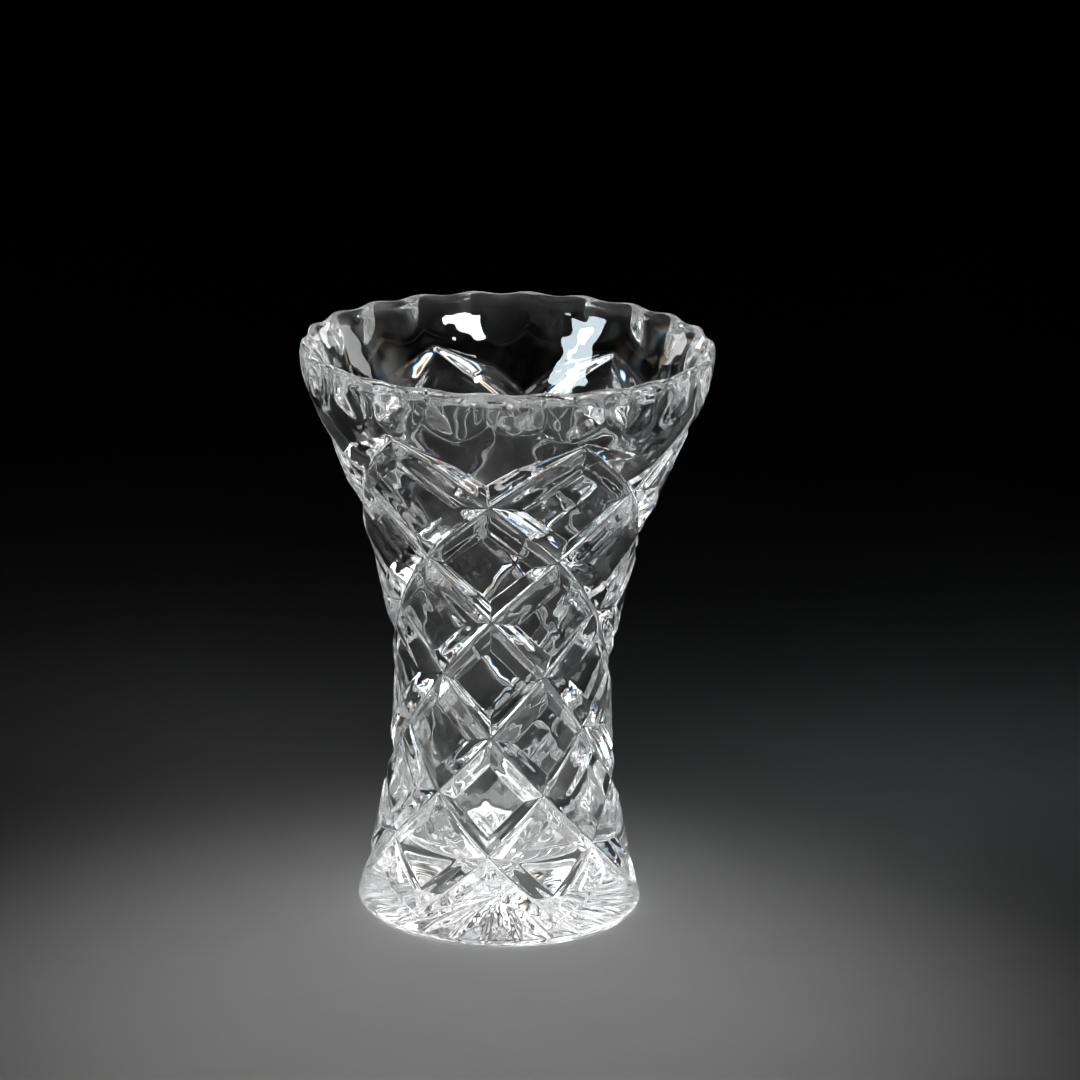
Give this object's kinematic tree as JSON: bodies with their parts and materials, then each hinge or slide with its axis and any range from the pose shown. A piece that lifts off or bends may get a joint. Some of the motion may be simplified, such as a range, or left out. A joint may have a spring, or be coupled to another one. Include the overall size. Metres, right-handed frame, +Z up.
{
  "type": "cut crystal vase",
  "caption": "Waisted, flared cut crystal vase with a diamond lattice of V grooves, a fluted lip and a star-cut foot.",
  "frame": {"origin": "centre of the underside, on the surface that the vase stands on", "axes": "+Z up along the vase's axis; -Y is the front, where a column of groove crossings faces"},
  "size_m": [0.1194, 0.1204, 0.17],
  "materials": {
    "crystal": "polished"
  },
  "bodies": {
    "root": {"star_cut_foot": "crystal", "lower_body": "crystal", "waist": "crystal", "flared_body": "crystal", "fluted_rim": "crystal"}
  },
  "joints": []
}
